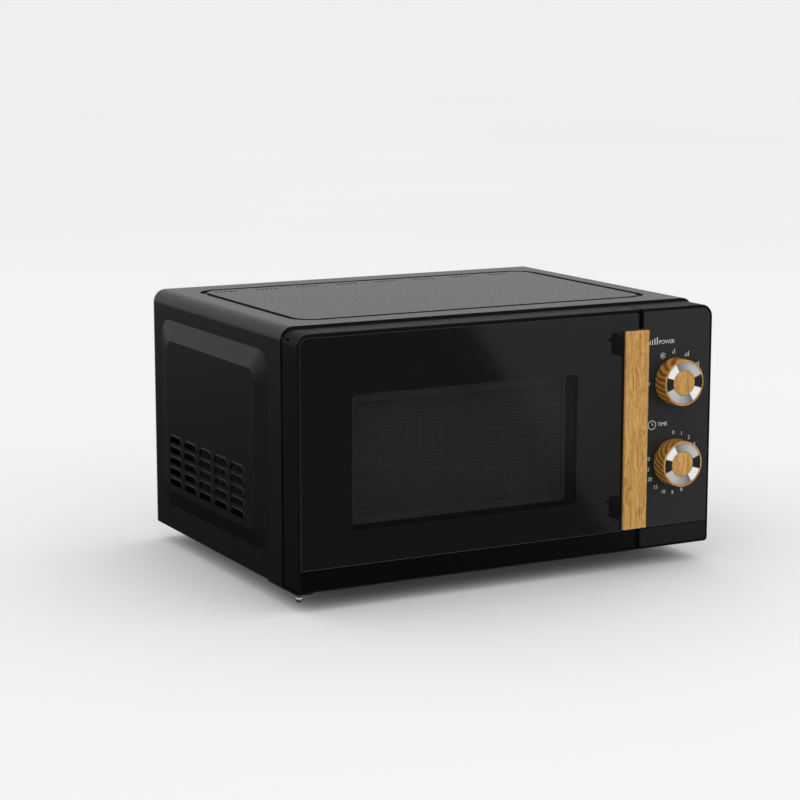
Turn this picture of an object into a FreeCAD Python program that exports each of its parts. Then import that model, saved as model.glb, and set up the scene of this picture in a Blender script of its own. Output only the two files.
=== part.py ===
import FreeCAD, Part
import os
import math

# Counter-top microwave oven, side-opening door on the left, two turning
# controls on the right. Units are millimetres. X runs left to right, Y from
# the front to the back, Z up. The origin is the middle of the overall box at
# the foot plane.

V = FreeCAD.Vector
os.makedirs("parts", exist_ok=True)

# ---- driving dimensions ----------------------------------------------------
WIDTH = 445.0            # over the pressed side panels' louvres
DEPTH = 355.0            # handle face to rear panel
HEIGHT = 250.0           # foot plane to top
FOOT_H = 17.0
SIDE_X = 217.5           # flat part of each side
PANEL_PROUD = 4.0        # pressed side panel stands out from the flat
LOUVRE_PROUD = 1.0
SHEET = 1.0
REAR_Y = DEPTH / 2       # 177.5
HANDLE_PROUD = 25.0
FRONT_Y = -DEPTH / 2 + HANDLE_PROUD    # -152.5, door and control panel face
COVER_Y0 = -117.5        # front edge of the cover
COVER_LIP = -118.4       # the cover runs on past the front frame to here
COVER_Y1 = REAR_Y - 1.5
ZB = FOOT_H
ZT = HEIGHT
EDGE_R = 12.0            # rounding along the top side edges

DOOR_X0, DOOR_X1 = -SIDE_X, 136.0
PANEL_X0, PANEL_X1 = 137.8, SIDE_X
FRONT_Z0, FRONT_Z1 = 17.8, 247.4
DOOR_BACK = -119.0
TRIM_Z = 37.7            # groove between glass and lower trim
WIN = (-164.7, 67.6, 69.4, 191.2)      # window x0 x1 z0 z1

HINGE = (-213.5, -123.0)               # door axis x y
HINGE_R = 3.94

CAV = (-204.0, 107.0, -116.0, 168.0, 33.0, 235.0)   # cavity interior
TT = (-48.5, 25.5)                     # turntable axis
TRAY_R = 127.5
WHEEL_R = 6.0
WHEEL_PITCH_R = 92.0
WHEEL_Z = CAV[4] + WHEEL_R + 0.5

KNOB_X = 175.3
KNOB_Z_POWER = 177.2
KNOB_Z_TIMER = 99.7
KNOB_R = 22.0
KNOB_PROUD = 17.0

HANDLE_X0, HANDLE_X1 = 103.4, 130.1
HANDLE_Z0, HANDLE_Z1 = 44.6, 232.2

LATCH_X = 125.0
LATCH_Z_UP, LATCH_Z_LOW = 185.0, 89.0


# ---- helpers ----------------------------------------------------------------
def box(x0, x1, y0, y1, z0, z1):
    return Part.makeBox(x1 - x0, y1 - y0, z1 - z0, V(x0, y0, z0))


def cyl(x, y, z, r, h, axis=(0, 0, 1)):
    return Part.makeCylinder(r, h, V(x, y, z), V(*axis))


def cone(x, y, z, r1, r2, h, axis=(0, 0, 1)):
    return Part.makeCone(r1, r2, h, V(x, y, z), V(*axis))


def fuse(shapes):
    shapes = list(shapes)
    out = shapes[0]
    if len(shapes) > 1:
        out = out.multiFuse(shapes[1:])
    return out.removeSplitter()


def cut(a, tools):
    tools = list(tools)
    if len(tools) > 1:
        return a.cut(tools)
    return a.cut(tools[0])


def rect_wire(u0, u1, v0, v1, r, place):
    """Closed rounded rectangle. r is one radius or four:
    (low-u low-v, high-u low-v, high-u high-v, low-u high-v)."""
    if not isinstance(r, (tuple, list)):
        r = (r, r, r, r)
    cs = [(u0, v0), (u1, v0), (u1, v1), (u0, v1)]
    dirs = [(0, 1), (1, 0), (0, -1), (-1, 0)]
    edges = []
    pts = []
    n = 4
    for i in range(4):
        cx, cy = cs[i]
        px, py = cs[i - 1]
        nx, ny = cs[(i + 1) % n]
        rr = r[i]
        def toward(ax, ay, bx, by, d):
            L = math.hypot(bx - ax, by - ay)
            return (ax + (bx - ax) * d / L, ay + (by - ay) * d / L)
        a = toward(cx, cy, px, py, rr)
        b = toward(cx, cy, nx, ny, rr)
        if rr > 0:
            ox = a[0] + b[0] - cx
            oy = a[1] + b[1] - cy
            k = rr / math.sqrt(2)
            mx = ox + (cx - ox) / abs(cx - ox) * k
            my = oy + (cy - oy) / abs(cy - oy) * k
            pts.append((a, (mx, my), b))
        else:
            pts.append((a, None, b))
    for i in range(4):
        a, m, b = pts[i]
        if m is not None:
            edges.append(Part.Arc(place(*a), place(*m), place(*b)).toShape())
        nxt = pts[(i + 1) % 4][0]
        if math.hypot(nxt[0] - b[0], nxt[1] - b[1]) > 1e-6:
            edges.append(Part.makeLine(place(*b), place(*nxt)))
    return Part.Wire(edges)


def slab_y(x0, x1, z0, z1, y0, y1, r=0):
    w = rect_wire(x0, x1, z0, z1, r, lambda u, v: V(u, y0, v))
    return Part.Face(w).extrude(V(0, y1 - y0, 0))


def slab_z(x0, x1, y0, y1, z0, z1, r=0):
    w = rect_wire(x0, x1, y0, y1, r, lambda u, v: V(u, v, z0))
    return Part.Face(w).extrude(V(0, 0, z1 - z0))


def slab_x(y0, y1, z0, z1, x0, x1, r=0):
    w = rect_wire(y0, y1, z0, z1, r, lambda u, v: V(x0, u, v))
    return Part.Face(w).extrude(V(x1 - x0, 0, 0))


def revolve_y(points, x, z):
    """Turn a (radius, y) outline about the line through x, z along Y."""
    pts = [V(x + p[0], p[1], z) for p in points]
    pts.append(pts[0])
    f = Part.Face(Part.makePolygon(pts))
    return f.revolve(V(x, 0, z), V(0, 1, 0), 360)


def revolve_z(points, x, y):
    pts = [V(x + p[0], y, p[1]) for p in points]
    pts.append(pts[0])
    f = Part.Face(Part.makePolygon(pts))
    return f.revolve(V(x, y, 0), V(0, 0, 1), 360)


def mirror_x(s):
    return s.mirror(V(0, 0, 0), V(1, 0, 0))


def save(name, shape):
    shape.exportStep("parts/" + name + ".step")


# ---- outer cover ------------------------------------------------------------
PY0, PY1, PZ0, PZ1 = -91.5, 158.5, 41.2, 224.8
SL_TOP, SL_BOT, SL_SIDE = 19.0, 16.0, 22.0


def side_swell(inset):
    """Pressed side panel on +X as a solid, shrunk by the sheet thickness."""
    x0 = SIDE_X - 3.0
    xb = SIDE_X - inset
    xt = SIDE_X + PANEL_PROUD - inset
    c = inset * 0.6
    base = rect_wire(PY0 + c, PY1 - c, PZ0 + c, PZ1 - c, 20.0,
                     lambda u, v: V(xb, u, v))
    top = rect_wire(PY0 + SL_SIDE, PY1 - SL_SIDE, PZ0 + SL_BOT, PZ1 - SL_TOP,
                    12.0, lambda u, v: V(xt, u, v))
    lo = Part.makeLoft([base, top], True)
    root = rect_wire(PY0 + c, PY1 - c, PZ0 + c, PZ1 - c, 20.0,
                     lambda u, v: V(x0, u, v))
    stub = Part.Face(root).extrude(V(xb - x0, 0, 0))
    return lo, stub


LOUVRE_W, LOUVRE_H = 28.4, 6.3          # opening, flat below and round above
LOUVRE_RIM = 1.9
LOUVRES = [(42.0 + (i - 2) * 36.8, 64.0 + j * 10.5)
           for i in range(5) for j in range(5)]


def louvre_rim(y, z, x_in, x_out):
    """Raised brow round the top and the ends of an opening."""
    def outline(d, x):
        return rect_wire(y - LOUVRE_W / 2 - d, y + LOUVRE_W / 2 + d, z,
                         z + LOUVRE_H + d, (0, 0, 5.0 + d, 5.0 + d),
                         lambda u, v: V(x, u, v))
    return Part.makeLoft([outline(LOUVRE_RIM, x_in), outline(LOUVRE_RIM - 0.9, x_out)],
                         True)


def louvre_hole(y, z, x_in, x_out):
    return slab_x(y - LOUVRE_W / 2, y + LOUVRE_W / 2, z, z + LOUVRE_H, x_in, x_out,
                  (0.6, 0.6, 5.0, 5.0))


def build_cover():
    out = slab_y(-SIDE_X, SIDE_X, ZB, ZT, COVER_LIP, COVER_Y1,
                 (0, 0, EDGE_R, EDGE_R))
    inn = slab_y(-SIDE_X + SHEET, SIDE_X - SHEET, ZB - 1, ZT - SHEET,
                 COVER_LIP - 1, COVER_Y1 + 1,
                 (0, 0, EDGE_R - SHEET, EDGE_R - SHEET))
    xt = SIDE_X + PANEL_PROUD
    lo, stub = side_swell(0.0)
    li, stubi = side_swell(SHEET)
    out = out.multiFuse([lo, mirror_x(lo)])
    groove_o = slab_z(-188, 190, -93, 149, ZT - 2.0, ZT + 1, 24.0)
    groove_i = slab_z(-181, 183, -86, 142, ZT - 2.1, ZT + 1.1, 17.0)
    ring = groove_o.cut(groove_i)
    out = out.cut(ring)
    dip_o = slab_z(-189, 191, -94, 150, ZT - 3.0, ZT, 25.0)
    dip_i = slab_z(-180, 182, -85, 141, ZT - 3.1, ZT + 0.1, 16.0)
    inn = inn.cut(dip_o.cut(dip_i))
    hoods, hollows = [], []
    for (y, z) in LOUVRES:
        hoods.append(louvre_rim(y, z, xt - 0.5, xt + LOUVRE_PROUD))
        hollows.append(louvre_hole(y, z, xt - 2.0, xt + LOUVRE_PROUD + 1))
    out = out.multiFuse(hoods + [mirror_x(h) for h in hoods])
    s = out.cut([inn, li, stubi, mirror_x(li), mirror_x(stubi)])
    s = s.cut(hollows + [mirror_x(h) for h in hollows])
    # long shallow bead low on each side
    for sx in (1, -1):
        b = slab_x(-76, 160, 34.9, 37.7, SIDE_X - 0.5, SIDE_X + 0.5, 1.4)
        if sx < 0:
            b = mirror_x(b)
        s = s.cut(b)
    # air slots in the top, in short groups near the back
    slots = []
    for g0 in (-172, -128, -84, -40, 4, 48, 92, 136):
        for k in range(5):
            x = g0 + k * 5.0
            slots.append(slab_z(x, x + 2.2, 126, 133, ZT - 4, ZT + 1, 1.0))
    s = s.cut(slots)
    return s


save("outer_cover", build_cover())

# ---- base, rear, feet ---------------------------------------------------------
bx = SIDE_X - SHEET - 0.1
base = box(-bx, bx, COVER_Y0 + 1.5, COVER_Y1, ZB, ZB + 1.2)
base = fuse([base,
             box(-bx, -bx + 1.0, COVER_Y0 + 1.5, COVER_Y1, ZB + 1.2, ZB + 14),
             box(bx - 1.0, bx, COVER_Y0 + 1.5, COVER_Y1, ZB + 1.2, ZB + 14)])
base_holes = []
for i in range(9):
    for j in range(3):
        base_holes.append(cyl(140 + i * 8, -54 + j * 8, ZB - 1, 2.0, 4))
for i in range(4):
    base_holes.append(slab_z(-150 + i * 12, -146 + i * 12, 90, 120,
                             ZB - 1, ZB + 3, 1.9))
base = base.cut(base_holes)
FEET = [(-165, -75), (165, -75), (-165, 145), (165, 145)]
base = base.cut([cyl(x, y, ZB - 1, 3.0, 5) for x, y in FEET])
save("base_plate", base)

feet = []
for x, y in FEET:
    feet.append(revolve_z([(0, 0), (10, 0), (11.5, 1.5), (13, ZB - 2), (13, ZB),
                           (2.9, ZB), (2.9, ZB + 1.2), (5.0, ZB + 1.2),
                           (4.0, ZB + 3.5), (0, ZB + 3.5)], x, y))
save("feet", Part.makeCompound(feet))

rear = slab_y(-SIDE_X, SIDE_X, ZB, ZT, COVER_Y1, REAR_Y, (0, 0, EDGE_R, EDGE_R))
rh = []
for i in range(12):
    for j in range(5):
        rh.append(slab_y(134 + i * 6.2, 137 + i * 6.2, 126 + j * 18, 139 + j * 18,
                         COVER_Y1 - 1, REAR_Y + 1, 1.4))
for i in range(10):
    rh.append(slab_y(-180 + i * 9, -176 + i * 9, 190, 222,
                     COVER_Y1 - 1, REAR_Y + 1, 1.9))
CORD = (185.0, 60.0)
rh.append(cyl(CORD[0], COVER_Y1 - 1, CORD[1], 8.0, 4, (0, 1, 0)))
REAR_SCREWS = [(-200, 30), (200, 30), (-200, 235), (200, 235), (0, 240), (0, 25)]
for x, z in REAR_SCREWS:
    rh.append(cyl(x, COVER_Y1 - 1, z, 1.8, 4, (0, 1, 0)))
rear = rear.cut(rh)
save("rear_panel", rear)

screws = []
for x, z in REAR_SCREWS:
    s = revolve_y([(0, REAR_Y - 7.0), (1.7, REAR_Y - 7.0), (1.7, REAR_Y - 0.9),
                   (3.6, REAR_Y - 0.9), (3.2, REAR_Y), (0, REAR_Y)], x, z)
    screws.append(s)
rear = rear.cut([cyl(x, REAR_Y - 0.9, z, 3.7, 2, (0, 1, 0))
                 for x, z in REAR_SCREWS])
save("rear_panel", rear)
# round-headed stud under the lower hinge, at the front left corner
STUD = (-213.4, -144.2)
screws.append(revolve_z([(0, ZB - 8.6), (1.9, ZB - 8.1), (3.0, ZB - 6.6),
                         (3.2, ZB - 5.0), (2.8, ZB - 3.6), (1.8, ZB - 2.6),
                         (1.8, ZB - 1.6), (0, ZB - 1.6)], STUD[0], STUD[1]))
save("cabinet_screws", Part.makeCompound(screws))

bush = revolve_y([(4.2, COVER_Y1 - 6), (9.5, COVER_Y1 - 6), (9.5, COVER_Y1),
                  (7.9, COVER_Y1), (7.9, REAR_Y), (7.2, REAR_Y), (4.2, REAR_Y)],
                 CORD[0], CORD[1])
save("cord_bush", bush)

# ---- cavity --------------------------------------------------------------------
x0, x1, y0, y1, z0, z1 = CAV
ff = box(-bx, bx, COVER_Y0, COVER_Y0 + 1.5, ZB, ZT - SHEET - 0.1)
ff = slab_y(-bx, bx, ZB, ZT - SHEET - 0.1, COVER_Y0, COVER_Y0 + 1.5,
            (0, 0, EDGE_R - SHEET - 0.1, EDGE_R - SHEET - 0.1))
ffh = [slab_y(x0, x1, z0, z1, COVER_Y0 - 1, COVER_Y0 + 3, 4.0),
       box(116.5, 133.5, COVER_Y0 - 1, COVER_Y0 + 3, 174, 198),
       box(116.5, 133.5, COVER_Y0 - 1, COVER_Y0 + 3, 78, 102),
       slab_y(148, 203, 146, 204, COVER_Y0 - 1, COVER_Y0 + 3, 2),
       slab_y(148, 203, 66, 128, COVER_Y0 - 1, COVER_Y0 + 3, 2)]
save("cavity_front_frame", ff.cut(ffh))

lin = box(x0 - 1, x1 + 1, y0, y1 + 1, z0 - 1, z1 + 1)
lin = lin.cut(box(x0, x1, y0 - 1, y1, z0, z1))
WG = (-44.0, 8.0, 168.0, 214.0)        # feed opening y0 y1 z0 z1 in the right wall
lh = [box(x1 - 1, x1 + 2, WG[0] + 6, WG[1] - 6, WG[2] + 6, WG[3] - 6),
      cyl(TT[0], TT[1], z0 - 3, 6.0, 6)]
for i in range(6):
    for j in range(5):
        lh.append(cyl(x1 - 2, -84 + i * 5, 196 + j * 5, 1.6, 5, (1, 0, 0)))
for i in range(8):
    for j in range(4):
        lh.append(cyl(x0 - 3, 100 + i * 5, 205 + j * 5, 1.6, 5, (1, 0, 0)))
save("cavity_liner", lin.cut(lh))

wgc = slab_x(WG[0] - 2, WG[1] + 2, WG[2] - 2, WG[3] + 2, x1 - 0.8, x1, 4)
save("waveguide_cover", wgc)

# duct from the magnetron to the cavity wall
wx0, wx1 = x1 + 1, x1 + 17
wg = box(wx0, wx1, WG[0], 66, WG[2], WG[3])
wg = wg.cut([box(wx0 - 1, wx1 - 1.2, WG[0] + 1.2, 64.8, WG[2] + 1.2, WG[3] - 1.2)])
wg = wg.fuse(box(wx0, wx0 + 1.2, WG[1] + 1, 66, WG[2], WG[3]))
wg = wg.fuse(box(wx0, wx0 + 1.0, WG[0], 66, WG[2] - 5, WG[2]))
wg = wg.fuse(box(wx0, wx0 + 1.0, WG[0], 66, WG[3], WG[3] + 5))
MAG = (38.0, 191.0)                    # magnetron axis y z
wg = wg.cut(cyl(wx1 - 4, MAG[0], MAG[1], 9.6, 8, (1, 0, 0)))
save("waveguide", wg.removeSplitter())

# magnetron: steel yoke, fins round the anode, filter box, antenna in the duct
mx0 = wx1
my0, my1 = MAG[0] - 38, MAG[0] + 38
mz0, mz1 = MAG[1] - 27, MAG[1] + 27
yoke = fuse([box(mx0, mx0 + 2, my0, my1, mz0, mz1),
             box(mx0 + 46, mx0 + 48, my0, my1, mz0, mz1),
             box(mx0 + 2, mx0 + 46, my0, my0 + 1.5, mz0, mz1),
             box(mx0 + 2, mx0 + 46, my1 - 1.5, my1, mz0, mz1),
             cyl(mx0 + 2, MAG[0], MAG[1], 24, 9, (1, 0, 0)),
             cyl(mx0 + 37, MAG[0], MAG[1], 24, 9, (1, 0, 0))])
anode = cyl(mx0 + 11, MAG[0], MAG[1], 17, 26, (1, 0, 0))
antenna = fuse([cyl(wx1 - 11, MAG[0], MAG[1], 8.0, 11.5, (1, 0, 0)),
                cyl(wx1 - 0.01, MAG[0], MAG[1], 9.0, 12, (1, 0, 0))])
yoke = yoke.cut(cyl(mx0 - 1, MAG[0], MAG[1], 9.1, 13, (1, 0, 0)))
filt = box(mx0 + 48, mx0 + 76, my0 + 14, my1 - 14, mz0 + 6, mz1 - 6)
filt = filt.cut(box(mx0 + 49.2, mx0 + 74.8, my0 + 15.2, my1 - 15.2,
                    mz0 + 7.2, mz1 - 7.2))
save("magnetron_case", Part.makeCompound([yoke.removeSplitter(), filt]))
tube = fuse([anode, antenna.cut(box(mx0 + 11, mx0 + 40, -500, 500, 0, 400))])
fins = [tube]
for k in range(7):
    fx = mx0 + 13 + k * 3.6
    f = box(fx, fx + 0.8, my0 + 1.5, my1 - 1.5, mz0 + 1, mz1 - 1)
    fins.append(f.cut(cyl(fx - 1, MAG[0], MAG[1], 17.0, 4, (1, 0, 0))))
save("magnetron_tube", fuse(fins))

# transformer on the base
tx0, tx1, ty0, ty1, tz0, tz1 = 128.0, 206.0, -30.0, 42.0, ZB + 1.2, 88.0
core = box(tx0, tx1, ty0 + 12, ty1 - 12, tz0, tz1 - 6)
core = core.cut([box(tx0 + 14, tx0 + 28, ty0, ty1, tz0 + 14, tz1 - 20),
                 box(tx1 - 28, tx1 - 14, ty0, ty1, tz0 + 14, tz1 - 20)])
core = core.fuse(box(tx0 - 3, tx1 + 3, ty0 + 12, ty1 - 12, tz0, tz0 + 2.5))
save("transformer_core", core.removeSplitter())
wind = []
for (za, zb) in ((tz0 + 15, tz0 + 30), (tz0 + 32, tz0 + 49.2)):
    o = slab_z(tx0 + 15, tx1 - 15, ty0 + 1, ty1 - 1, za, zb, 9)
    i = box(tx0 + 28, tx1 - 28, ty0 + 12, ty1 - 12, za - 1, zb + 1)
    wind.append(o.cut(i))
save("transformer_windings", Part.makeCompound(wind))

# capacitor, its strap and the diode
cap = slab_z(132, 166, 62, 114, ZB + 3.2, 92, 15)
cap = fuse([cap, box(141, 147, 74, 75, 92, 100), box(151, 157, 74, 75, 92, 100)])
strap = slab_z(130.6, 167.4, 60.6, 115.4, 40, 52, 16.3).cut(
    slab_z(132, 166, 62, 114, 39, 53, 15))
strap = strap.fuse(box(167.0, 172, 84, 92, ZB + 1.2, 52))
save("hv_capacitor", Part.makeCompound([cap, strap.removeSplitter()]))
diode = fuse([cyl(186, 66, ZB + 9.2, 4.5, 20, (0, 1, 0)),
              cyl(186, 60, ZB + 9.2, 1.0, 32, (0, 1, 0)),
              box(183.5, 188.5, 87, 92, ZB + 1.2, ZB + 9.0)])
save("hv_diode", diode)

# fan behind the magnetron
FAN = (170.0, 160.0)                   # axis x z
sh = slab_y(127, 213, 118, 204, 146, 175.5, 4)
sh = sh.cut([cyl(FAN[0], 145, FAN[1], 37.5, 40, (0, 1, 0))])
save("fan_shroud", sh)
bl = [cyl(FAN[0], 152, FAN[1], 9, 16, (0, 1, 0))]
for k in range(5):
    b = box(-1.0, 1.0, -6.5, 6.5, 8.0, 35.5)
    b.rotate(V(0, 0, 0), V(0, 0, 1), 38)
    b.rotate(V(0, 0, 0), V(0, 1, 0), 72 * k)
    b.translate(V(FAN[0], 160, FAN[1]))
    bl.append(b)
blades = fuse(bl)
blades = blades.cut(cyl(FAN[0], 140, FAN[1], 1.55, 30, (0, 1, 0)))
save("fan_blades", blades)
fm = fuse([box(FAN[0] - 24, FAN[0] + 24, 118, 134, FAN[1] - 22, FAN[1] - 4),
           box(FAN[0] - 24, FAN[0] - 14, 118, 134, FAN[1] - 4, FAN[1] + 12),
           box(FAN[0] + 14, FAN[0] + 24, 118, 134, FAN[1] - 4, FAN[1] + 12),
           cyl(FAN[0], 114, FAN[1], 13, 24, (0, 1, 0)),
           box(FAN[0] - 24, FAN[0] + 24, 118, 134, FAN[1] + 4, FAN[1] + 12),
           cyl(FAN[0], 137, FAN[1], 1.2, 14, (0, 1, 0)),
           box(FAN[0] - 40, FAN[0] - 20, 134, 136, FAN[1] - 6, FAN[1] + 6),
           box(FAN[0] + 20, FAN[0] + 40, 134, 136, FAN[1] - 6, FAN[1] + 6),
           box(FAN[0] - 42, FAN[0] - 39.5, 134, 146, FAN[1] - 6, FAN[1] + 6),
           box(FAN[0] + 39.5, FAN[0] + 42, 134, 146, FAN[1] - 6, FAN[1] + 6)])
save("fan_motor", fm)

# mains filter board with its fuse, and two thermal cut-outs
fb = box(128, 176, 120, 168, 100, 101.6)
fb = fuse([fb, box(134, 154, 130, 146, 101.6, 114),
           box(158, 172, 126, 140, 101.6, 112),
           cyl(136, 158, 104.8, 2.8, 24, (1, 0, 0)),
           box(136, 139, 154, 162, 101.6, 108), box(157, 160, 154, 162, 101.6, 108),
           box(126, 128, 120, 168, 92, 104),
           box(127, 129, 166, 176, 92, 101.6)])
save("filter_board", fb)
tcs = []
for (y, z) in ((-70, 150), (90, 205)):
    tcs.append(fuse([cyl(x1 + 1, y, z, 8, 6, (1, 0, 0)),
                     box(x1 + 7, x1 + 12, y - 5, y - 4, z - 3, z + 3),
                     box(x1 + 7, x1 + 12, y + 4, y + 5, z - 3, z + 3)]))
save("thermal_cutouts", Part.makeCompound(tcs))

# lamp
lamp = fuse([cone(x1 + 3, -71.5, 206, 5.0, 8.5, 4, (1, 0, 0)),
             cyl(x1 + 7, -71.5, 206, 8.5, 8, (1, 0, 0)),
             cone(x1 + 15, -71.5, 206, 8.5, 6.0, 4, (1, 0, 0)),
             cyl(x1 + 19, -71.5, 206, 6, 12, (1, 0, 0))])
save("cavity_lamp", lamp)
lho = box(x1 + 21, x1 + 36, -84, -59, 194, 218)
lho = lho.cut(cyl(x1 + 15, -71.5, 206, 6.0, 16, (1, 0, 0)))
lho = lho.fuse([box(x1 + 1, x1 + 36, -84.4, -82.4, 191, 222)]).removeSplitter()
save("lamp_holder", lho)

# turntable drive
tm = fuse([cyl(TT[0], TT[1], ZB + 1.8, 24.5, 12.4),
           cyl(TT[0], TT[1], ZB + 13, 2.4, 7.4),
           box(TT[0] - 33, TT[0] + 33, TT[1] - 6, TT[1] + 6, z0 - 2.6, z0 - 1),
           box(TT[0] + 18, TT[0] + 34, TT[1] - 9, TT[1] + 9, ZB + 2.6, ZB + 12)])
save("turntable_motor", tm)
cp = [cyl(TT[0], TT[1], z0 - 0.6, 3.6, 8),
      cyl(TT[0], TT[1], z0 + 2.0, 9.0, 6.0)]
for k in range(3):
    a = box(6, 21, -2.5, 2.5, z0 + 3.0, z0 + 8.0)
    a.rotate(V(0, 0, 0), V(0, 0, 1), 90 + 120 * k)
    a.translate(V(TT[0], TT[1], 0))
    cp.append(a)
cpl = fuse(cp).cut(cyl(TT[0], TT[1], z0 - 2, 2.7, 7.2))
save("turntable_coupler", cpl)

tz = WHEEL_Z + WHEEL_R + 0.3           # underside of the tray
tray = revolve_z([(0, tz), (118.5, tz), (120.5, tz + 0.6), (122, tz + 2.0),
                  (TRAY_R, tz + 8.5), (TRAY_R, tz + 10.0), (124.6, tz + 10.0),
                  (119.0, tz + 4.6), (117.0, tz + 4.0), (0, tz + 4.0)],
                 TT[0], TT[1])
lugs = []
for k in range(3):
    b = box(15.5, 20.5, -2.5, 2.5, tz - 5.5, tz + 0.5)
    b.rotate(V(0, 0, 0), V(0, 0, 1), 30 + 120 * k)
    b.translate(V(TT[0], TT[1], 0))
    lugs.append(b)
save("glass_tray", fuse([tray] + lugs))

# roller ring and its wheels
rr = revolve_z([(72, WHEEL_Z - 2.5), (78, WHEEL_Z - 2.5), (78, WHEEL_Z + 2.5),
                (72, WHEEL_Z + 2.5)], TT[0], TT[1])
pieces = [rr]
rim = revolve_z([(100, WHEEL_Z - 2.5), (103, WHEEL_Z - 2.5), (103, WHEEL_Z + 2.5),
                 (100, WHEEL_Z + 2.5)], TT[0], TT[1])
pieces.append(rim)
for k in range(3):
    a = math.radians(90 + 120 * k)
    ca, sa = math.cos(a), math.sin(a)
    pieces.append(cyl(TT[0] + 77 * ca, TT[1] + 77 * sa, WHEEL_Z, 1.6, 24,
                      (ca, sa, 0)))
    a2 = a + math.radians(60)
    b = box(77, 101, -3, 3, WHEEL_Z - 2, WHEEL_Z + 2)
    b.rotate(V(0, 0, 0), V(0, 0, 1), math.degrees(a2))
    b.translate(V(TT[0], TT[1], 0))
    pieces.append(b)
    w = Part.makeCylinder(WHEEL_R, 7, V(TT[0] + 88.5 * ca, TT[1] + 88.5 * sa, WHEEL_Z),
                          V(ca, sa, 0))
    w = w.cut(Part.makeCylinder(2.0, 9, V(TT[0] + 87.5 * ca, TT[1] + 87.5 * sa,
                                          WHEEL_Z), V(ca, sa, 0)))
    save("roller_wheel_%d" % (k + 1), w)
save("roller_ring", fuse(pieces))

# ---- control panel ---------------------------------------------------------------
def front_block(xa, xb, left_round, right_round):
    """Front moulding with softened vertical front edges."""
    b = box(xa, xb, FRONT_Y, DOOR_BACK, FRONT_Z0, FRONT_Z1)
    return b


def round_edges(shape, pick, r):
    es = [e for e in shape.Edges if pick(e)]
    return shape.makeFillet(r, es)


def is_vertical_at(e, x, y):
    bb = e.BoundBox
    return (bb.ZLength > 100 and abs(bb.XMin - x) < 0.01
            and abs(bb.XMax - x) < 0.01 and abs(bb.YMin - y) < 0.01
            and abs(bb.YMax - y) < 0.01)


def is_cross_at(e, y, z):
    bb = e.BoundBox
    return (bb.XLength > 30 and bb.ZLength < 0.01 and abs(bb.YMin - y) < 0.01
            and abs(bb.YMax - y) < 0.01 and abs(bb.ZMin - z) < 0.01)


def front_rim(s, r):
    """Soften the whole outline of a front face."""
    es = [e for e in s.Edges if abs(e.BoundBox.YMin - FRONT_Y) < 0.01
          and abs(e.BoundBox.YMax - FRONT_Y) < 0.01]
    return s.makeFillet(r, es)


ph = slab_y(PANEL_X0, PANEL_X1, FRONT_Z0, FRONT_Z1, FRONT_Y, COVER_LIP,
            (0, 3.6, EDGE_R, 0))
ph = front_rim(ph, 1.2)
ph = ph.cut([slab_y(PANEL_X0 + 1.6, PANEL_X1 - 2.4, FRONT_Z0 + 2.2, FRONT_Z1 - 2.2,
                    FRONT_Y - 1, FRONT_Y + 2.2, (0.5, 1.8, 9.6, 0.5)),
             slab_y(PANEL_X0 + 2.4, PANEL_X1 - 2.4, FRONT_Z0 + 2.4, FRONT_Z1 - 2.4,
                    FRONT_Y + 5.0, COVER_Y0 + 1, (0, 1.5, 9.6, 0))])
PW = [(KNOB_X, KNOB_Z_POWER), (KNOB_X, KNOB_Z_TIMER)]
ph = ph.cut([cyl(x, FRONT_Y - 2, z, 6.0, 10, (0, 1, 0)) for x, z in PW])
save("control_panel_housing", ph)

fas = slab_y(PANEL_X0 + 2.0, PANEL_X1 - 2.8, TRIM_Z + 0.4, FRONT_Z1 - 2.6,
             FRONT_Y, FRONT_Y + 2.2, (0.4, 0.4, 9.2, 0.5))
fas = fas.cut([cyl(x, FRONT_Y - 2, z, 6.0, 10, (0, 1, 0)) for x, z in PW])
save("control_fascia", fas)
ptr = slab_y(PANEL_X0 + 2.0, PANEL_X1 - 2.8, FRONT_Z0 + 2.6, TRIM_Z - 0.4,
             FRONT_Y, FRONT_Y + 2.2, (0.4, 1.5, 0.4, 0.4))
save("panel_trim", ptr)

hx = PW[0][0]
sb = fuse([box(hx - 24, hx + 24, FRONT_Y + 7.5, -113, KNOB_Z_POWER - 26, KNOB_Z_POWER + 24),
           box(hx - 27, hx + 27, FRONT_Y + 6.3, FRONT_Y + 7.5, KNOB_Z_POWER - 29,
               KNOB_Z_POWER + 27),
           box(hx - 15, hx - 14, -113, -107, KNOB_Z_POWER - 10, KNOB_Z_POWER - 4),
           box(hx + 2, hx + 3, -113, -107, KNOB_Z_POWER - 10, KNOB_Z_POWER - 4)])
sb = sb.cut(cyl(hx, FRONT_Y, KNOB_Z_POWER, 3.4, 24, (0, 1, 0)))
sb = sb.fuse([cyl(hx - 20, FRONT_Y + 5.0, KNOB_Z_POWER + 18, 2, 2, (0, 1, 0)),
              cyl(hx + 20, FRONT_Y + 5.0, KNOB_Z_POWER - 18, 2, 2, (0, 1, 0))])
save("power_switch_body", sb)
tb = fuse([box(hx - 24, hx + 24, FRONT_Y + 7.5, -111, KNOB_Z_TIMER - 28, KNOB_Z_TIMER + 26),
           box(hx - 27, hx + 27, FRONT_Y + 6.3, FRONT_Y + 7.5, KNOB_Z_TIMER - 31,
               KNOB_Z_TIMER + 29),
           cyl(hx + 4, -111, KNOB_Z_TIMER + 6, 14, 8, (0, 1, 0)),
           box(hx - 15, hx - 14, -111, -105, KNOB_Z_TIMER - 20, KNOB_Z_TIMER - 14),
           box(hx + 2, hx + 3, -111, -105, KNOB_Z_TIMER - 20, KNOB_Z_TIMER - 14)])
tb = tb.cut(cyl(hx, FRONT_Y, KNOB_Z_TIMER, 3.4, 24, (0, 1, 0)))
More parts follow.
